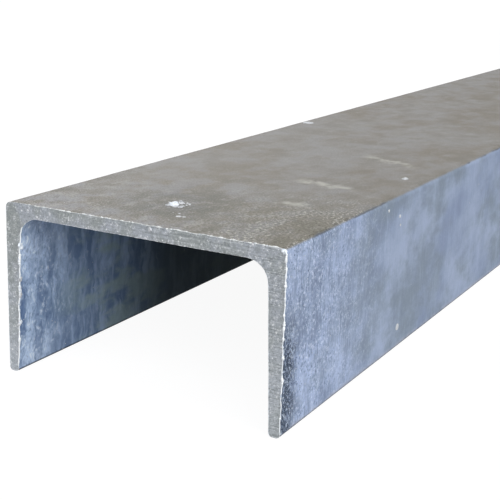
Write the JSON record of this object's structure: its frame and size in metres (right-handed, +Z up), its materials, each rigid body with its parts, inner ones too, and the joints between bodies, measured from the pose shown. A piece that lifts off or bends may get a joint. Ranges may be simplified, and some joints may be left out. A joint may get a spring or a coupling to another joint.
{
  "type": "hot-rolled steel channel",
  "caption": "Straight hot-rolled steel channel, flat web with two tapered flanges, sawn square and hot-dip galvanised, for framing, posts and lintels.",
  "frame": {"origin": "middle of the length and of the web depth, on the plane of the two flange toes", "axes": "+X along the length, +Y across the web towards one flange, +Z up from the toes to the web"},
  "size_m": [1, 0.1, 0.057],
  "materials": {
    "galvanised_steel": "hot-dip galvanised, dull mottled zinc with bright beads along the sawn edges"
  },
  "bodies": {
    "root": {"channel": "galvanised_steel"}
  },
  "joints": []
}
